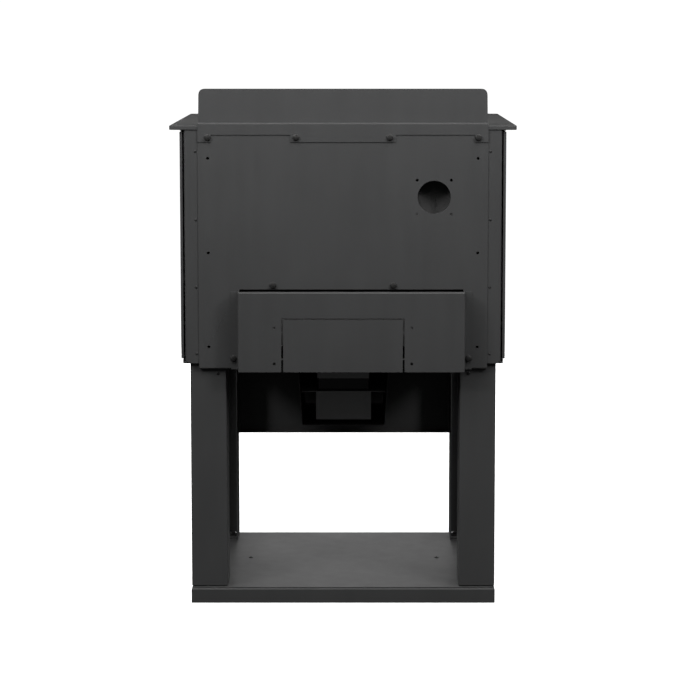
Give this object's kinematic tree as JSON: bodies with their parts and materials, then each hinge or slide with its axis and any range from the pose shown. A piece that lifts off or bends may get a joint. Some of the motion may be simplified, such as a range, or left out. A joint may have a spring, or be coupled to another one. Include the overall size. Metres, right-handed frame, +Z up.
{
  "type": "wood burning stove",
  "caption": "Wood-burning cook stove on an open log-storage pedestal, with a hinged glazed door, rear heat shield, air cover and ash drawer.",
  "frame": {"origin": "on the floor, at the centre of the bounding box's footprint", "axes": "+Z up, the door faces -Y and the rear shield faces +Y, +X is to the right when facing the door"},
  "size_m": [0.658, 0.655, 0.9902],
  "materials": {
    "charcoal_paint": "satin",
    "black_iron": "matte",
    "bare_steel": "satin",
    "firebrick": "matte",
    "fibre_board": "matte",
    "rope_seal": "matte",
    "ceramic_glass": "gloss"
  },
  "bodies": {
    "stove": {"air_manifold": "bare_steel", "air_tube_front": "bare_steel", "air_tube_middle": "bare_steel", "air_tube_rear": "bare_steel", "ash_chute": "charcoal_paint", "ash_lip": "black_iron", "baffle_blanket": "fibre_board", "baffle_board_left": "fibre_board", "baffle_board_right": "fibre_board", "base_tray": "charcoal_paint", "belly_pan": "charcoal_paint", "cooktop_plate": "charcoal_paint", "damper_guide": "bare_steel", "drawer_cradle": "charcoal_paint", "firebox_shell": "black_iron", "floor_brick_centre": "firebrick", "floor_brick_left": "firebrick", "floor_brick_right": "firebrick", "flue_collar": "black_iron", "front_apron": "charcoal_paint", "front_plate": "charcoal_paint", "hinge_bracket_lower": "black_iron", "hinge_bracket_upper": "black_iron", "hinge_pin_lower": "bare_steel", "hinge_pin_upper": "bare_steel", "intake_box": "bare_steel", "latch_catch": "bare_steel", "leg_front_left": "charcoal_paint", "leg_front_right": "charcoal_paint", "leg_rear_left": "charcoal_paint", "leg_rear_right": "charcoal_paint", "rear_air_cover": "charcoal_paint", "rear_brick": "firebrick", "rear_shield": "charcoal_paint", "side_brick_left": "firebrick", "side_brick_right": "firebrick", "side_casing_left": "charcoal_paint", "side_casing_right": "charcoal_paint", "side_panel_left": "charcoal_paint", "side_panel_right": "charcoal_paint", "splash_plate": "charcoal_paint", "storage_shelf": "charcoal_paint"},
    "door": {"door_frame": "black_iron", "door_glass": "ceramic_glass", "glass_gasket": "rope_seal", "glass_retainer_top": "bare_steel", "glass_retainer_bottom": "bare_steel", "door_gasket": "rope_seal"},
    "door_handle": {"handle_spindle": "bare_steel", "handle_grip": "black_iron", "latch_tongue": "bare_steel"},
    "ash_drawer": {"ash_pan": "bare_steel", "ash_drawer_front": "charcoal_paint", "ash_drawer_pull": "bare_steel"},
    "air_control": {"damper_plate": "bare_steel", "damper_rod": "bare_steel", "damper_knob": "black_iron"},
    "ash_plug": {"ash_plug": "black_iron"}
  },
  "joints": [
    {"name": "door_hinge", "type": "hinge", "parent": "stove", "child": "door", "pos_m": [-0.256, -0.2858, 0.6], "axis": [0, 0, -1], "range_deg": [0, 130]},
    {"name": "handle_turn", "type": "hinge", "parent": "door", "child": "door_handle", "pos_m": [0.203, -0.2858, 0.696], "axis": [0, 1, 0], "range_deg": [0, 70]},
    {"name": "ash_drawer_slide", "type": "slide", "parent": "stove", "child": "ash_drawer", "axis": [0, -1, 0], "range_m": [0, 0.23]},
    {"name": "air_control_slide", "type": "slide", "parent": "stove", "child": "air_control", "axis": [0, -1, 0], "range_m": [0, 0.053]},
    {"name": "ash_plug_lift", "type": "slide", "parent": "stove", "child": "ash_plug", "axis": [0, 0, 1], "range_m": [0, 0.05]}
  ]
}
